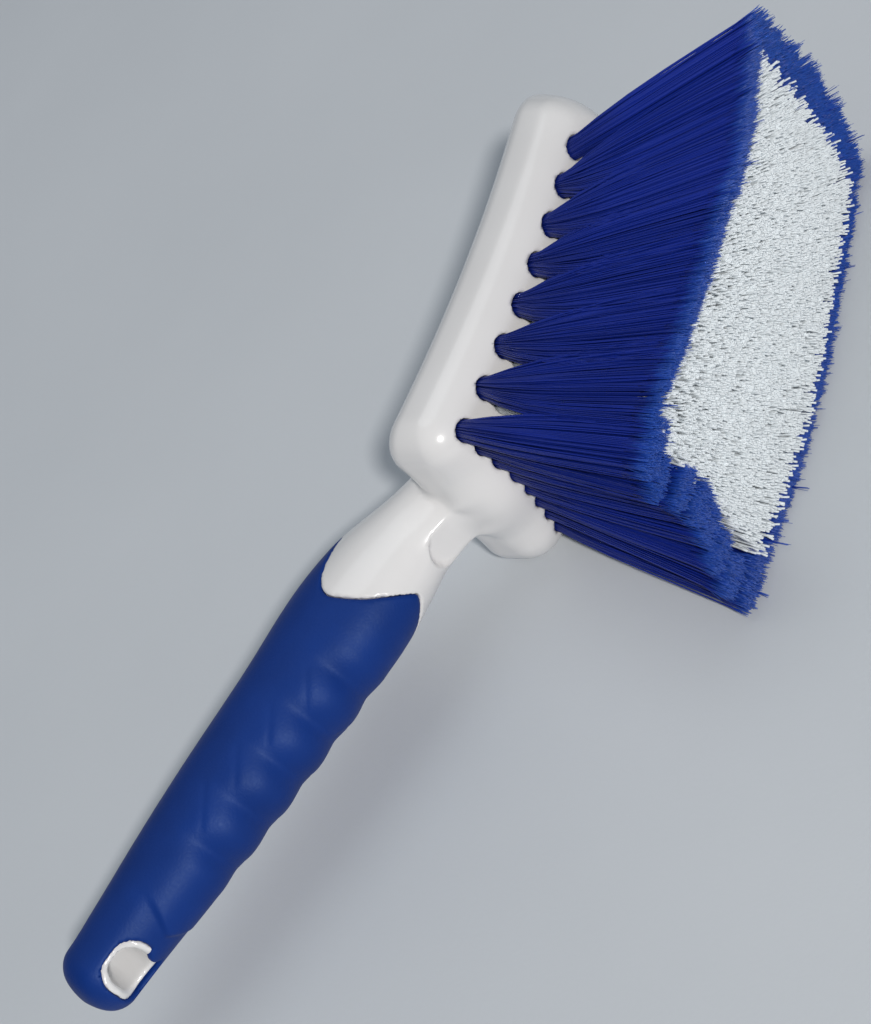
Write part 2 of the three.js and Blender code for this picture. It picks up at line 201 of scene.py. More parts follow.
def tip_point(row, column):
    """Where a tuft, or a place between tufts, ends: the tips spread, and are trimmed to a curve."""
    along = np.asarray(row, float) - (ROWS - 1) / 2
    across = np.asarray(column, float) - (COLUMNS - 1) / 2
    drop = np.where(along > 0, TIP_DROP_TOE, TIP_DROP_HEEL) * (2 * along / ROWS) ** 2
    rise = np.where(across > 0, TIP_RISE_UP, TIP_RISE_DOWN) * (2 * across / COLUMNS) ** 2
    arch = TOE_ARCH * np.maximum(2 * along / ROWS, 0) ** 6 * (1 - (2 * across / COLUMNS) ** 2)
    x = GRID_LENGTH / 2 + along * np.where(along > 0, TIP_PITCH_TOE, TIP_PITCH_HEEL) + arch
    z = across * np.where(across > 0, TIP_PITCH_UP, TIP_PITCH_DOWN)
    lower = np.maximum(-2 * across / COLUMNS, 0)
    trim = FAR_TRIM * np.exp(-(((along - FAR_TRIM_AT) / FAR_TRIM_REACH) ** 2)) * lower
    return np.stack([x, drop - rise + trim - TUFT_LENGTH, z], -1)


def normalised(v):
    return v / np.linalg.norm(v, axis=-1, keepdims=True)


grid_rows, grid_columns = np.meshgrid(np.arange(ROWS), np.arange(COLUMNS), indexing="ij")
ROOTS = root_point(grid_rows, grid_columns)
TUFT_AXES = normalised(tip_point(grid_rows, grid_columns) - ROOTS)


# ---- Handle coordinates: s along the axis, n towards the bristle side, z across ----
def axis_height(x):
    bent = np.clip(x - HANDLE_X, 0, NECK_BEND_LENGTH)
    straight = np.maximum(x - HANDLE_X - NECK_BEND_LENGTH, 0)
    return (
        HANDLE_Y - (x - HANDLE_X) * np.tan(LEAN)
        - NECK_BEND * (bent**2 + 2 * NECK_BEND_LENGTH * straight)
    )  # fmt: skip


def axis_slope(x):
    return -np.tan(LEAN) - 2 * NECK_BEND * np.clip(x - HANDLE_X, 0, NECK_BEND_LENGTH)


def handle_coordinates(x, y):
    """Distance along the handle's axis and offset from it, by walking to the nearest point of the axis."""
    t = x.copy()
    for _ in range(5):
        slope = axis_slope(t)
        t = t - ((t - x) + (axis_height(t) - y) * slope) / (1 + slope**2)
    slope = axis_slope(t)
    n = ((x - t) * slope - (y - axis_height(t))) / np.sqrt(1 + slope**2)
    reach = t - HANDLE_X
    return -reach / np.cos(LEAN) - BEND_GAIN * np.clip(reach, 0, BEND_GAIN_LENGTH) ** 2, n


def ellipse(across, deep, a, b):
    """Distance, nearly, to an ellipse with half axes a and b."""
    k0 = np.hypot(across / a, deep / b)
    k1 = np.hypot(across / a**2, deep / b**2)
    return k0 * (k0 - 1) / np.maximum(k1, 1e-6)


def half_depth(s, n, a):
    """Half the handle's depth where its half width is a, deeper in places."""
    swell = FRONT_SWELL * smoothstep(*FRONT_SWELL_OUT, s) * smoothstep(*FRONT_SWELL_IN, s)
    swell = swell + NECK_SWELL * smoothstep(*NECK_SWELL_IN, s)
    back = BACK_SWELL * smoothstep(*BACK_SWELL_IN, s) * smoothstep(*BACK_SWELL_OUT, s)
    return (
        a * DEPTH_TO_WIDTH
        + swell * smoothstep(0, SWELL_BLEND, n)
        + back * smoothstep(0, -SWELL_BLEND, n)
    )


def core_waist(s, n):
    """How much shallower the core is on its bristle side, to leave room for the finger waves."""
    return WAIST_DEPTH * smoothstep(*WAIST_IN, s) * smoothstep(0, WAIST_BLEND, n)


def side_angle(n, z):
    """Degrees from the side of the handle towards the bristle side, the same on both sides."""
    return np.degrees(np.arctan2(n / DEPTH_TO_WIDTH, np.abs(z)))


def finger_dip(s):
    """Scalloped finger waves: wide swells with narrow valleys between them."""
    phase = (s - FINGER_FIRST) / FINGER_PITCH
    begins = smoothstep(-0.8, -0.3, phase)
    ends = smoothstep(FINGER_VALLEYS - 0.7, FINGER_VALLEYS - 0.2, phase)
    swell = np.abs(np.sin(np.pi * phase))
    return FINGER_DEPTH * begins * (1 - ends) * (1 - np.sqrt(swell**2 + VALLEY_ROUND))


def crease_dip(s, angle):
    """Shallow slanted creases that carry the finger valleys up the side of the grip."""
    dip = 0.0
    for (s0, a0), (s1, a1) in CREASES:
        run, turn = s1 - s0, (a1 - a0) * ARC_OF_DEGREE
        length = np.hypot(run, turn)
        climb = (angle - a0) * ARC_OF_DEGREE
        along = ((s - s0) * run + climb * turn) / length
        off = ((s - s0) * turn - climb * run) / length
        begins = smoothstep(-0.5, CREASE_FADE, along)
        ends = smoothstep(length - CREASE_FADE, length + 0.5, along)
        groove = np.exp(-((off / CREASE_WIDTH) ** 2))
        lip = LIP_SHARE * np.exp(-(((off + LIP_OFF) / LIP_WIDTH) ** 2))
        dip = dip + CREASE_DEPTH * begins * (1 - ends) * (groove - lip)
    return dip


def hang_slot(s, z, extra):
    """The rounded slot through the handle's end, this much bigger all round."""
    length, width = HANG_LENGTH / 2 + extra, HANG_WIDTH / 2 + extra
    radius = HANG_CORNER * width
    ax = np.abs(s - HANG_S) - (length - radius)
    az = np.abs(z) - (width - radius)
    return np.hypot(np.maximum(ax, 0), np.maximum(az, 0)) + np.minimum(np.maximum(ax, az), 0) - radius


def taper(s, end):
    """Share of the full width and depth that is left near the round end."""
    into = np.clip((s - (end - END_ROUND)) / END_ROUND, 0, 0.995)
    return np.sqrt(1 - into**2)


# ---- White moulding ----
def head_field(x, y, z):
    """The head block: a rounded outline between the sagging bristle face and the crowned back."""
    front = face_y(x, z)
    back = sag_along(x) + HEAD_THICKNESS + BACK_CROWN * (1 - (z / HEAD_HALF_WIDTH) ** 2)
    level = np.clip((y - front) / (back - front), 0, 1)
    near_heel = smoothstep(HEEL_SHAPE_X, HEEL_X, x)
    web = smoothstep(WEB_EDGE, WEB_MIDDLE, np.abs(z)) * smoothstep(0, WEB_LEVEL, level)
    lobe = 1 - smoothstep(0, 1, (np.abs(z) - HEEL_LOBE_AT) / HEEL_LOBE_REACH)
    u = x + TOE_RAKE * (1 - level) ** 2 * smoothstep(GRID_LENGTH, TOE_X, x)
    u = u + (HEEL_LOBE * lobe - WEB_DEPTH * web) * near_heel
    corner = np.where(u < GRID_LENGTH / 2, HEEL_CORNER, TOE_CORNER)
    ax = np.abs(u - (HEEL_X + TOE_X) / 2) - (TOE_X - HEEL_X) / 2 + corner
    az = np.abs(z) - HEAD_HALF_WIDTH + SIDE_CROWN * (2 * level - 1) ** 2 + corner
    outline = np.hypot(np.maximum(ax, 0), np.maximum(az, 0)) + np.minimum(np.maximum(ax, az), 0) - corner
    edge = EDGE_RADIUS + HEEL_EDGE_EXTRA * smoothstep(6, -8, x) * smoothstep(26, 12, np.abs(z))
    return rounded_box(outline, np.abs(y - (front + back) / 2) - (back - front) / 2, edge)


def mouth_stretch(row):
    """Length along the head of a tuft at its root, in widths."""
    return HEEL_STRETCH + (TOE_STRETCH - HEEL_STRETCH) * row / (ROWS - 1)


def tuft_holes(x, y, z):
    """Distance to the nearest blind hole, each along its own tuft's direction."""
    depth = np.maximum(y - face_y(x, z), 0) / TUFT_LENGTH
    guess_x = x + depth * (TIP_PITCH_TOE - ROW_PITCH) * (x / ROW_PITCH - (ROWS - 1) / 2)
    guess_z = z + depth * (TIP_PITCH_UP - COLUMN_PITCH) * z / COLUMN_PITCH
    row = np.clip(np.rint(guess_x / ROW_PITCH), 0, ROWS - 1).astype(int)
    column = np.clip(np.rint(guess_z / COLUMN_PITCH + (COLUMNS - 1) / 2), 0, COLUMNS - 1).astype(int)
    root, axis = ROOTS[row, column], TUFT_AXES[row, column]
    off = np.stack([x, y, z], -1) - root
    inward = -(off * axis).sum(-1)
    across = off + inward[..., None] * axis
    across[..., 0] /= mouth_stretch(row)
    radial = np.sqrt((across**2).sum(-1))
    return np.maximum(radial - HOLE_RADIUS, inward - HOLE_DEPTH)


def core_field(s, n, z, a, b, inset):
    """The core inside the grip, this far in from the outside of the handle."""
    small = taper(s, HANDLE_END - inset)
    core = ellipse(z, n, (a - inset) * small, (b - inset - core_waist(s, n)) * small)
    return np.maximum(core, s - (HANDLE_END - inset))


def handle_field(x, y, z):
    """The white parts of the handle: the neck, the core in the grip and the collar round the slot."""
    s, n = handle_coordinates(x, y)
    a = eased(HALF_WIDTHS, s, WIDTH_EASE)
    b = half_depth(s, n, a)
    whole = ellipse(z, n, a, b)
    neck = rounded_box(whole, s - eased(GRIP_EDGE, side_angle(n, z), EDGE_EASE) + SEAM, NECK_EDGE)
    core = core_field(s, n, z, a, b, GRIP_THICKNESS + SEAM)
    sunk = COLLAR_SUNK + HANG_STEP_DEPTH * smoothstep(0, WAIST_BLEND, n)
    collar = np.maximum(hang_slot(s, z, HANG_COLLAR - SEAM), whole + sunk)
    handle = np.minimum(np.minimum(neck, core), collar)
    handle = common(handle, -hang_slot(s, z, 0), HANG_EDGE)
    scoop = np.hypot((s - SCOOP_AT) / SCOOP_LENGTH, z / SCOOP_WIDTH) - 1
    hollow = smoothstep(*SCOOP_RIM, scoop)
    cut = (n - b + SCOOP_DEPTH + SCOOP_CLEARANCE) * hollow - SCOOP_CLEARANCE
    return np.maximum(np.maximum(handle, cut), x - NECK_ROOT_X)


def body_field(x, y, z):
    hump = [(p - at) / size for p, at, size in zip((x, y, z), HUMP_AT, HUMP_SIZE)]
    hump = (np.sqrt(hump[0] ** 2 + hump[1] ** 2 + hump[2] ** 2) - 1) * HUMP_SIZE[0]
    handle = union(handle_field(x, y, z), hump, HUMP_FILLET)
    fillet = HEEL_FILLET + HEEL_FILLET_EXTRA * smoothstep(*HEEL_FILLET_Y, y)
    body = union(head_field(x, y, z), handle, fillet)
    near = y < HOLES_REACH
    body[near] = common(body[near], -tuft_holes(x[near], y[near], z[near]), HOLE_EDGE)
    return body


# ---- Grip ----
def grip_field(x, y, z):
    s, n = handle_coordinates(x, y)
    a = eased(HALF_WIDTHS, s, WIDTH_EASE)
    b = half_depth(s, n, a)
    angle = side_angle(n, z)
    small = taper(s, HANDLE_END)
    step = smoothstep(HANG_STEP - 1, HANG_STEP + 1, s + 0.6 * np.abs(z))
    step = step * smoothstep(*HANG_STEP_FRONT, n / b)
    dip = finger_dip(s) * smoothstep(*FINGER_FRONT, n / b) + HANG_STEP_DEPTH * step
    outer = ellipse(z, n, a * small, (b - dip) * small) + crease_dip(s, angle)
    outer = rounded_box(outer, eased(GRIP_EDGE, angle, EDGE_EASE) + SEAM - s, GRIP_EDGE_RADIUS)
    outer = common(outer, s - HANDLE_END, GRIP_END_EDGE)
    sleeve = np.maximum(outer, -core_field(s, n, z, a, b, GRIP_THICKNESS))
    tab = np.hypot(s - TAB_S, z - TAB_Z) - TAB_RADIUS + TAB_OFF * (n < 0)
    opening = np.maximum(hang_slot(s, z, HANG_COLLAR), -tab)
    return common(sleeve, -opening, OPENING_EDGE)


# ---- Meshing ----
def net_faces(inside, axis, cell_number):
    """One quad for each grid edge along axis that crosses the surface, facing out."""
    first = inside.take(range(inside.shape[axis] - 1), axis)
    second = inside.take(range(1, inside.shape[axis]), axis)
    i, j, k = np.nonzero(first != second)
    leaving = first[i, j, k]
    at = [i, j, k]
    u, v = [(1, 2), (2, 0), (0, 1)][axis]
    corners = []
    for du, dv in ((1, 1), (0, 1), (0, 0), (1, 0)):
        cell = [c.copy() for c in at]
        cell[u] -= du
        cell[v] -= dv
        corners.append(cell_number[tuple(cell)])
    quads = np.stack(corners, -1)
    quads[~leaving] = quads[~leaving][:, ::-1]
    return quads


def surface_mesh(field, low, high, step=VOXEL):
    """Vertices and outward quads of the surface where field is zero, pulled onto it."""
    axes = [np.arange(a, b + step, step) for a, b in zip(low, high)]
    grid = np.meshgrid(*axes, indexing="ij")
    values = field(*grid)
    inside = values < 0
    shape = tuple(n - 1 for n in values.shape)
    total = np.zeros(shape + (3,))
    count = np.zeros(shape)
    for axis in range(3):
        lower = [slice(None)] * 3
        upper = [slice(None)] * 3
        lower[axis], upper[axis] = slice(None, -1), slice(1, None)
        f0, f1 = values[tuple(lower)], values[tuple(upper)]
        i, j, k = np.nonzero((f0 < 0) != (f1 < 0))
        share = f0[i, j, k] / (f0[i, j, k] - f1[i, j, k])
        point = np.stack([axes[0][i], axes[1][j], axes[2][k]], -1)
        point[:, axis] += share * step
        u, v = [(1, 2), (2, 0), (0, 1)][axis]
        for du in (0, 1):
            for dv in (0, 1):
                cell = [i.copy(), j.copy(), k.copy()]
                cell[u] -= du
                cell[v] -= dv
                flat = np.ravel_multi_index(cell, shape)
                np.add.at(count.reshape(-1), flat, 1)
                np.add.at(total.reshape(-1, 3), flat, point)
    used = count > 0
    cell_number = np.full(shape, -1)
    cell_number[used] = np.arange(used.sum())
    points = total[used] / count[used][:, None]
    faces = np.vstack([net_faces(inside, axis, cell_number) for axis in range(3)])
    for _ in range(PROJECTION_STEPS):
        points = points - pull(field, points, step / 3)
    return points, faces


def pull(field, points, most):
    """The step that takes each point to the surface along the field's slope."""
    value = field(*points.T.copy())
    slope = np.stack([
        field(*(points + unit).T.copy()) - field(*(points - unit).T.copy())
        for unit in SLOPE_STEP * np.eye(3)
    ], -1) / (2 * SLOPE_STEP)
    step = slope * (value / np.maximum((slope**2).sum(-1), LEAST_SLOPE))[:, None]
    size = np.linalg.norm(step, axis=-1, keepdims=True)
    return step * np.minimum(1, most / np.maximum(size, 1e-9))


def mesh_object(name, points, faces, material, values=None, uv=None):
    """A smooth-shaded object from grid-frame points in millimetres and quads."""
    mesh = bpy.data.meshes.new(name)
    mesh.vertices.add(len(points))
    mesh.vertices.foreach_set("co", ((points + ORIGIN) * MM).astype(np.float32).ravel())
    mesh.loops.add(faces.size)
    mesh.loops.foreach_set("vertex_index", faces.astype(np.int32).ravel())
    mesh.polygons.add(len(faces))
    mesh.polygons.foreach_set("loop_start", np.arange(0, faces.size, 4, dtype=np.int32))
    mesh.update(calc_edges=True)
    for key, value in (values or {}).items():
        mesh.attributes.new(key, "FLOAT", "POINT").data.foreach_set("value", value.astype(np.float32))
    if uv is not None:
        layer = mesh.uv_layers.new(name="OFBake")
        layer.data.foreach_set("uv", uv[faces.ravel()].astype(np.float32).ravel())
    mesh.validate()
    mesh.shade_smooth()
    mesh.materials.append(material)
    made = bpy.data.objects.new(name, mesh)
    bpy.context.scene.collection.objects.link(made)
    return made


def place(made, slot, *nodes):
    """Ties a piece to the body and hides the CAD nodes that it replaces; slot is not used."""
    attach(made, "root")
    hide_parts(*nodes)


# ---- Materials ----
class Shader:
    """A Principled material, built up node by node."""

    def __init__(self, name, **values):
        self.material = bpy.data.materials.new(name)
        self.material.use_nodes = True
        self.tree = self.material.node_tree
        self.surface = self.tree.nodes["Principled BSDF"]
        for key, value in values.items():
            self.surface.inputs[key.replace("_", " ")].default_value = value

    def node(self, kind, **inputs):
        made = self.tree.nodes.new(kind)
        for key, value in inputs.items():
            socket = made.inputs[key.replace("_", " ")]
            if isinstance(value, bpy.types.NodeSocket):
                self.tree.links.new(value, socket)
            else:
                socket.default_value = value
        return made

    def place(self):
        return self.node("ShaderNodeTexCoord").outputs["Object"]

    def noise(self, scale, detail=3.0, distortion=0.0):
        made = self.node(
            "ShaderNodeTexNoise", Vector=self.place(), Scale=scale, Detail=detail, Distortion=distortion
        )
        return made.outputs["Fac"]

    def attribute(self, name):
        made = self.node("ShaderNodeAttribute")
        made.attribute_name = name
        return made.outputs["Fac"]

    def ramp(self, fac, stops):
        made = self.node("ShaderNodeValToRGB", Fac=fac)
        while len(made.color_ramp.elements) < len(stops):
            made.color_ramp.elements.new(0.5)
        for element, (at, colour) in zip(made.color_ramp.elements, stops):
            element.position = at
            element.color = (*colour, 1)
        return made.outputs["Color"]

    def mix(self, fac, a, b, blend="MIX"):
        made = self.tree.nodes.new("ShaderNodeMix")
        made.data_type = "RGBA"
        made.blend_type = blend
        sockets = (made.inputs["Factor"], made.inputs[6], made.inputs[7])
        for socket, value in zip(sockets, (fac, a, b)):
            if isinstance(value, bpy.types.NodeSocket):
                self.tree.links.new(value, socket)
            else:
                socket.default_value = value
        return made.outputs[2]

    def span(self, value, low, high):
        return self.node("ShaderNodeMapRange", Value=value, To_Min=low, To_Max=high).outputs["Result"]

    def math(self, operation, a, b):
        made = self.tree.nodes.new("ShaderNodeMath")
        made.operation = operation
        for socket, value in zip(made.inputs, (a, b)):
            if isinstance(value, bpy.types.NodeSocket):
                self.tree.links.new(value, socket)
            else:
                socket.default_value = value
        return made.outputs[0]

    def bump(self, height, distance, strength=1.0):
        made = self.node("ShaderNodeBump", Height=height, Distance=distance, Strength=strength)
        self.tree.links.new(made.outputs["Normal"], self.surface.inputs["Normal"])

    def feed(self, name, value):
        self.tree.links.new(value, self.surface.inputs[name])


def white_plastic():
    m = Shader("white_moulded_plastic", IOR=1.5, Coat_Weight=0.35, Coat_Roughness=0.06)
    clouds = m.noise(28, 2)
    m.feed("Base Color", m.ramp(clouds, [(0.3, (0.80, 0.785, 0.775)), (0.7, (0.85, 0.84, 0.83))]))
    m.feed("Roughness", m.span(m.noise(160, 4), 0.16, 0.28))
    m.bump(m.noise(55, 2), 0.0002, 0.35)
    return m.material


def grip_rubber():
    m = Shader("blue_grip_rubber", IOR=1.45, Specular_IOR_Level=0.4, Specular_Tint=(0.55, 0.75, 1.0, 1))
    clouds = m.noise(60, 4)
    m.feed("Base Color", m.ramp(clouds, [(0.25, (0.003, 0.026, 0.175)), (0.75, (0.004, 0.034, 0.225))]))
    wrinkles = m.node("ShaderNodeTexVoronoi", Vector=m.place(), Scale=780.0)
    wrinkles.feature = "DISTANCE_TO_EDGE"
    cells = m.span(wrinkles.outputs["Distance"], 0.0, 1.6)
    grain = m.noise(1500, 3, 0.6)
    height = m.math("ADD", m.math("MINIMUM", cells, 0.35), m.math("MULTIPLY", grain, 0.5))
    m.feed("Roughness", m.span(grain, 0.46, 0.62))
    m.bump(height, 0.00012, 0.35)
    return m.material


def bristle(name, root, middle, tip, roughness, spread):
    """Filaments: a colour along their length, darker towards the root as painted shade, and a random tone
    of its own for each.
    """
    m = Shader(name, IOR=1.5, Roughness=roughness)
    # The root colour is darker than the middle one: painted shade where the filaments crowd together near
    # the head.
    colour = m.ramp(m.attribute("along"), [(0.0, root), (0.35, middle), (0.93, middle), (1.0, tip)])
    shade = m.span(m.attribute("shade"), 1 - spread, 1 + spread)
    made = m.node("ShaderNodeCombineColor", Red=shade, Green=shade, Blue=shade)
    m.feed("Base Color", m.mix(1.0, colour, made.outputs["Color"], "MULTIPLY"))
    return m.material


# ---- Bristles ----
SIDES = 4
FILAMENTS = 320  # of a tuft
BLUE_RADIUS, WHITE_RADIUS = 0.19, 0.29
BURIED = 4.0
CLEARANCE = 0.25  # between a tuft and its hole
SQUARENESS = 0.65
UV_MARGIN = 0.02
# How far filaments lean out as they leave the hole, how much more at the toe, and at the tips.
FLARE, TOE_FLARE, TIP_FLARE = 1.2, 1.2, -0.25
# Spread of the tips, in rows and columns, and of the directions they end in.
TIP_SPREAD, TIP_TURN = (0.035, 0.03), 0.015
BLUE_RAGGED, WHITE_RAGGED = 0.75, 0.7  # spread of the filaments' lengths
STRIP_SPREAD = 0.05  # the blue strip is wider in some tufts than in others
TUFT_PUSH = 0.7  # and some tufts are longer
HEEL_PUSH = np.array([1.3, 0.6, 0.6])  # the heel tufts lean apart, one by one
HEEL_SWEEP = 5.0  # the lowest heel tufts are swept back towards the handle
STRAY_SHARE, STRAY_SWAY, STRAY_PULL = 0.012, 1.6, 1.2
TIP_THINNING = 0.55
# Each blue filament splits into finer strands at its tip: how many, how far apart, how soon they part.
STRANDS, STRAND_SPREAD, STRAND_PART = 2, 0.42, 0.35
STRAND_ALONG, STRAND_RADII = np.array([0.9, 0.96, 1.0]), np.array([0.1, 0.09, 0.05])
CRIMP_LENGTH, CRIMP_SIZE, CRIMP_SPREAD = 6.0, 0.26, 0.08
CRIMP_FROM = (0.3, 0.6)  # share of the length over which the crimp grows
FLOOR_Z = -ORIGIN[2] + 0.25
# Shares of the length at which a filament's path is worked out.
BLUE_STEPS = np.array([0, 0.12, 0.3, 0.5, 0.7, 0.86, 0.95, 1.0])
WHITE_STEPS = np.concatenate([[0, 0.25, 0.5], np.linspace(0.74, 1.0, 9)])


def tubes(path, radius):
    """Closed tubes round paths of shape (count, steps, 3); radius is (count, steps)."""
    count, steps, _ = path.shape
    forward = normalised(np.gradient(path, axis=1))
    reference = np.array([1.0, 0.0, 0.0])
    across = normalised(reference - (forward @ reference)[..., None] * forward)
    other = np.cross(forward, across)
    turn = 2 * np.pi * np.arange(SIDES) / SIDES
    ring = across[:, :, None] * np.cos(turn)[:, None] + other[:, :, None] * np.sin(turn)[:, None]
    points = path[:, :, None] + radius[:, :, None, None] * ring
    number = np.arange(count * steps * SIDES).reshape(count, steps, SIDES)
    after = np.roll(number, -1, axis=2)
    walls = np.stack([number[:, :-1], after[:, :-1], after[:, 1:], number[:, 1:]], -1).reshape(-1, 4)
    caps = np.vstack([number[:, 0, ::-1], number[:, -1]])
    return points.reshape(-1, 3), np.vstack([walls, caps])


def disc_to_square(r, turn):
    """A point of the unit disc moved most of the way to its place in a square."""
    x, y = r * np.cos(turn), r * np.sin(turn)
    stretch = r / np.maximum(np.maximum(np.abs(x), np.abs(y)), 1e-6)
    out = 1 - SQUARENESS + SQUARENESS * stretch
    return x * out, y * out


class Bundle:
    """The filaments of one or more tufts, gathered into one mesh."""

    def __init__(self):
        self.points, self.faces, self.along, self.shade = [], [], [], []
        self.size = 0

    def add(self, path, radius, along, shade):
        """along is how far down its filament each step is, shade a number from 0 to 1 for each filament."""
        count, steps, _ = path.shape
        radius, along = (np.broadcast_to(value, (count, steps)) for value in (radius, along))
        points, faces = tubes(path, radius)
        self.points.append(points)
        self.faces.append(faces + self.size)
        self.size += len(points)
        self.along.append(np.repeat(along, SIDES, axis=1).ravel())
        self.shade.append(np.repeat(shade, steps * SIDES))

    def build(self, name, material):
        along, shade = np.concatenate(self.along), np.concatenate(self.shade)
        uv = UV_MARGIN + (1 - 2 * UV_MARGIN) * np.stack([along, shade], -1)
        values = {"along": along, "shade": shade}
        return mesh_object(name, np.vstack(self.points), np.vstack(self.faces), material, values, uv)


def tuft_paths(row, column, rng, steps, ragged, along, across):
    """Filament paths of one tuft, from inside its hole to its share of the trimmed tips.

    along and across are the lowest and highest row and column of that share, measured from the tuft.
    """
    root, axis = ROOTS[row, column], TUFT_AXES[row, column]
    r, turn = np.sqrt(rng.random(FILAMENTS)), 2 * np.pi * rng.random(FILAMENTS)
    u, v = disc_to_square(r, turn)
    off = np.stack([mouth_stretch(row) * np.cos(turn), 0 * r, np.sin(turn)], -1)
    start = root + (HOLE_RADIUS - CLEARANCE) * r[:, None] * off
    share_row = row + along[0] + (along[1] - along[0]) * (u + 1) / 2
    share_column = column + across[0] + (across[1] - across[0]) * (v + 1) / 2
    share_row = share_row + rng.normal(0, TIP_SPREAD[0], FILAMENTS)
    share_column = share_column + rng.normal(0, TIP_SPREAD[1], FILAMENTS)
    tip = tip_point(share_row, share_column)
    length = np.linalg.norm(tip - start, axis=-1, keepdims=True)
    straight = (tip - start) / length
    tip = tip + straight * rng.normal(0, ragged, (FILAMENTS, 1))
    lean = straight - normalised(straight.mean(0))
    leave = normalised(straight + (FLARE + TOE_FLARE * row / ROWS) * lean)
    arrive = normalised(straight + TIP_FLARE * lean + rng.normal(0, TIP_TURN, (FILAMENTS, 3)))
    t = steps[None, :, None]
    curve = (
        (2 * t**3 - 3 * t**2 + 1) * start[:, None]
        + (t**3 - 2 * t**2 + t) * (length * leave)[:, None]
        + (3 * t**2 - 2 * t**3) * tip[:, None]
        + (t**3 - t**2) * (length * arrive)[:, None]
    )
    first = start - BURIED * axis
    return np.concatenate([first[:, None], curve], 1)


def blue_share(row, column):
    """Rows and columns that a blue tuft's tips cover: a thin strip round the white ones."""
    along = (-0.8, 0.8)
    across = (-0.52, 0.52)
    if row == 0:
        along = (-0.48, 0.2 if 0 < column < COLUMNS - 1 else 0.5)
        across = (-0.32, 0.32)
    elif row == ROWS - 1:
        along = (-0.06, 0.52)
    elif column == 0:
        across = (-0.5, -0.26)
    else:
        across = (0.24, 0.5)
    return along, across


def white_share(row, column):
    """Rows and columns that a white tuft's tips cover: they mix, and push out under the blue strip."""
    along = (-0.85 if row == 1 else -0.6, 0.95 if row == ROWS - 2 else 0.6)
    across = (-1.15 if column == 1 else -0.6, 1.15 if column == COLUMNS - 2 else 0.6)
    return along, across


def above_floor(path):
    path[..., 2] = np.maximum(path[..., 2], FLOOR_Z)
    return path


def blue_tuft(bundle, row, column, rng):
    """Straight filaments with split ends, a few of them astray."""
    along, across = blue_share(row, column)
    inner = rng.normal(0, STRIP_SPREAD)
    across = (across[0] + inner, across[1]) if column else (across[0], across[1] + inner)
    path = tuft_paths(row, column, rng, BLUE_STEPS, BLUE_RAGGED, along, across)
    down = np.concatenate([[0], BLUE_STEPS])  # share of its length that each step has reached
    path += TUFT_AXES[row, column] * rng.normal(0, TUFT_PUSH) * down[:, None] ** 2
    if row == 0:
        push = rng.normal(0, 1, 3) * HEEL_PUSH
        push[0] -= HEEL_SWEEP * (1 - column / (COLUMNS - 1)) ** 2
        path += push * down[:, None] ** 1.5
    stray = rng.random(FILAMENTS) < STRAY_SHARE
    sway = rng.normal(0, STRAY_SWAY, (FILAMENTS, 3)) * stray[:, None]
    sway[:, 1] = -np.abs(sway[:, 1]) * STRAY_PULL
    path = above_floor(path + sway[:, None] * down[:, None] ** 2)
    shade = rng.random(FILAMENTS)
    radii = np.full(len(down), BLUE_RADIUS)
    radii[-1] *= TIP_THINNING
    bundle.add(path, radii, down, shade)
    for _ in range(STRANDS):
        start, end = path[:, -3], path[:, -1]
        off = rng.normal(0, STRAND_SPREAD, (FILAMENTS, 3))
        strand = np.stack([start, (start + end) / 2 + STRAND_PART * off, end + off], 1)
        bundle.add(above_floor(strand), STRAND_RADII, STRAND_ALONG, shade)


def white_tuft(bundle, row, column, rng):
    """Crimped filaments: each waves in a plane of its own."""
    path = tuft_paths(row, column, rng, WHITE_STEPS, WHITE_RAGGED, *white_share(row, column))
    down = np.concatenate([[0], WHITE_STEPS])
    phase = 2 * np.pi * rng.random((FILAMENTS, 1))
    pace = 2 * np.pi * TUFT_LENGTH / CRIMP_LENGTH * rng.normal(1, CRIMP_SPREAD, (FILAMENTS, 1))
    heading = 2 * np.pi * rng.random((FILAMENTS, 1))
    wave = CRIMP_SIZE * smoothstep(*CRIMP_FROM, down) * np.sin(pace * down + phase)
    path[..., 0] += wave * np.cos(heading)
    path[..., 2] += wave * np.sin(heading)
    bundle.add(path, WHITE_RADIUS, down, rng.random(FILAMENTS))


def edge_name(row, column):
    """Which side of the head a blue tuft is on, and its number there."""
    if row == 0:
        return f"heel_{column + 1}"
    if row == ROWS - 1:
        return f"toe_{column + 1}"
    return f"{'lower' if column == 0 else 'upper'}_{row}"


# ---- Build ----
body = mesh_object("moulded_body", *surface_mesh(body_field, *BODY_BOX), white_plastic())
place(body, "white_moulding", "brush_body", "core_end")
grip = mesh_object("grip_sleeve", *surface_mesh(grip_field, *GRIP_BOX), grip_rubber())
place(grip, "blue_grip", "handle_grip")

# In each material the first, root colour is darker than the middle one: painted shade low down in the
# tufts.
blue_material = bristle(
    "blue_filaments", (0.006, 0.018, 0.19), (0.006, 0.024, 0.285), (0.014, 0.075, 0.40), 0.4, 0.16
)
white_material = bristle(
    "white_filaments", (0.78, 0.83, 0.86), (0.80, 0.85, 0.88), (0.80, 0.85, 0.88), 0.5, 0.04
)
rng = np.random.default_rng(7)
for row in range(ROWS):
    whites = Bundle()
    for column in range(COLUMNS):
        if row in (0, ROWS - 1) or column in (0, COLUMNS - 1):
            blues = Bundle()
            blue_tuft(blues, row, column, rng)
            name = edge_name(row, column)
            made = blues.build(f"blue_bristles_{name}", blue_material)
            place(made, "blue_bristle", f"blue_tuft_{name}")
        else:
            white_tuft(whites, row, column, rng)
    if whites.size:
        made = whites.build(f"white_bristles_{row}", white_material)
        place(made, "white_bristle", f"white_tuft_row_{row}")

# ---- Floor, light and camera, in metres ----
FLOOR_SIZE = 14.0
LIT_POINT = Vector((0.02, -0.01, 0.03))
SKY_COLOUR, SKY_STRENGTH = (0.72, 0.85, 1.0, 1), 0.18


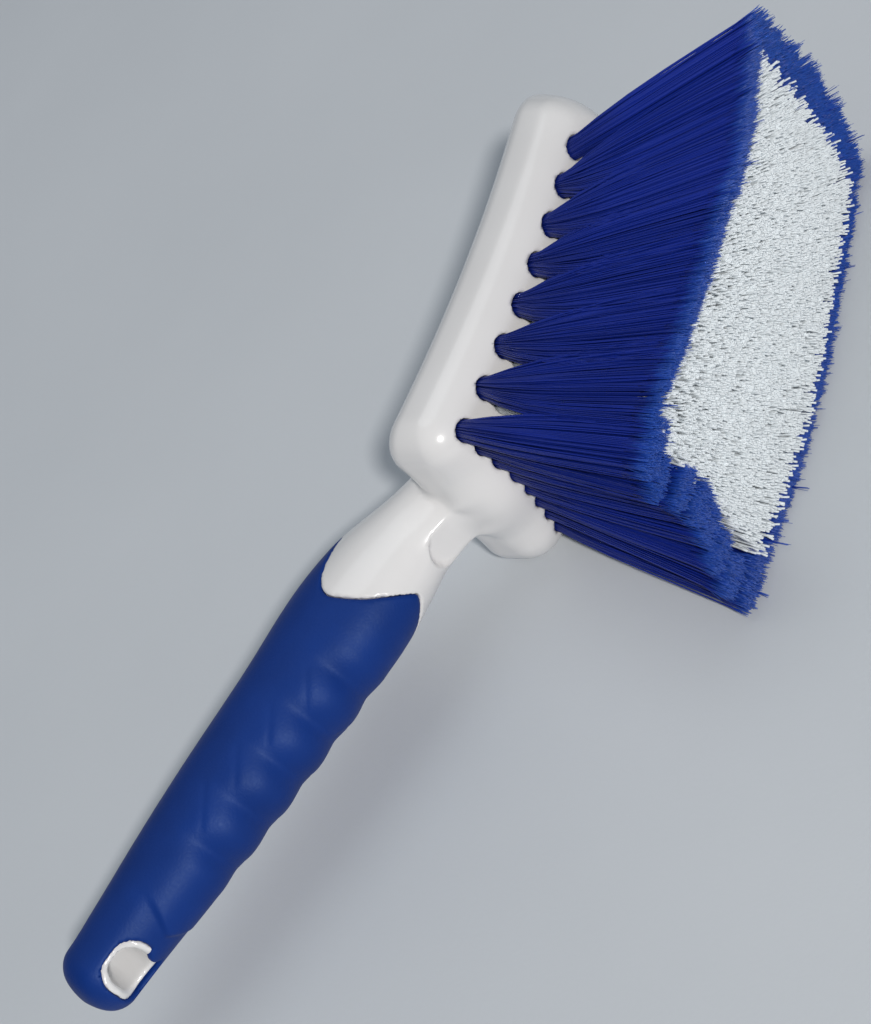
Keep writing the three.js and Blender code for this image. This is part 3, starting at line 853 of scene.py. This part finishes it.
def floor():
    mesh = bpy.data.meshes.new("floor")
    h = FLOOR_SIZE / 2
    mesh.from_pydata([(-h, -h, 0), (h, -h, 0), (h, h, 0), (-h, h, 0)], [], [(0, 1, 2, 3)])
    m = Shader("pale_paper", Roughness=0.75, IOR=1.4)
    m.feed("Base Color", m.ramp(m.noise(9, 5), [(0.3, (0.60, 0.63, 0.66)), (0.7, (0.63, 0.66, 0.69))]))
    m.bump(m.noise(900, 3), 0.0002, 0.2)
    mesh.materials.append(m.material)
    made = bpy.data.objects.new("floor", mesh)
    bpy.context.scene.collection.objects.link(made)


def area_light(name, direction, distance, size, power, colour, shine=True):
    """A round lamp that faces the brush from this direction."""
    data = bpy.data.lights.new(name, "AREA")
    data.shape = "DISK"
    data.size = size
    data.energy = power
    data.color = colour
    made = bpy.data.objects.new(name, data)
    away = Vector(direction).normalized()
    made.location = LIT_POINT + away * distance
    made.visible_glossy = shine
    made.rotation_mode = "QUATERNION"
    made.rotation_quaternion = away.to_track_quat("Z", "Y")
    bpy.context.scene.collection.objects.link(made)


floor()
area_light("key", (-60, -113, 100), 2.2, 0.16, 33.0, (1.0, 0.97, 0.94))
area_light("fill", (0.3, 0.1, 1.0), 2.0, 1.6, 6.5, (0.93, 0.97, 1.0))
area_light("back_fill", (0.2, 1.0, 0.9), 2.0, 1.6, 3.0, (1.0, 0.96, 0.95), shine=False)

world = bpy.data.worlds.new("studio")
world.use_nodes = True
sky = world.node_tree.nodes["Background"]
sky.inputs["Color"].default_value = SKY_COLOUR
sky.inputs["Strength"].default_value = SKY_STRENGTH
scene = bpy.context.scene
scene.world = world
scene.view_settings.view_transform = "Standard"

# The camera looks down on the brush from its handle side, rolled so that the handle runs to the lower left.
CAMERA_AT = Vector((-0.25602, -0.42436, 0.45017))
LOOK_AZIMUTH, LOOK_DOWN, ROLL = np.radians(59.0612), np.radians(39.5856), np.radians(-47.9026)
SENSOR_MM, LENS_MM = 36.0, 94.744
look = Vector((
    np.cos(LOOK_DOWN) * np.cos(LOOK_AZIMUTH),
    np.cos(LOOK_DOWN) * np.sin(LOOK_AZIMUTH),
    -np.sin(LOOK_DOWN),
))
camera_data = bpy.data.cameras.new("camera")
camera_data.sensor_width = SENSOR_MM
camera_data.lens = LENS_MM
camera = bpy.data.objects.new("camera", camera_data)
camera.rotation_mode = "QUATERNION"
camera.location = CAMERA_AT
camera.rotation_quaternion = look.to_track_quat("-Z", "Y") @ Quaternion((0, 0, 1), ROLL)
bpy.context.scene.collection.objects.link(camera)
scene.camera = camera
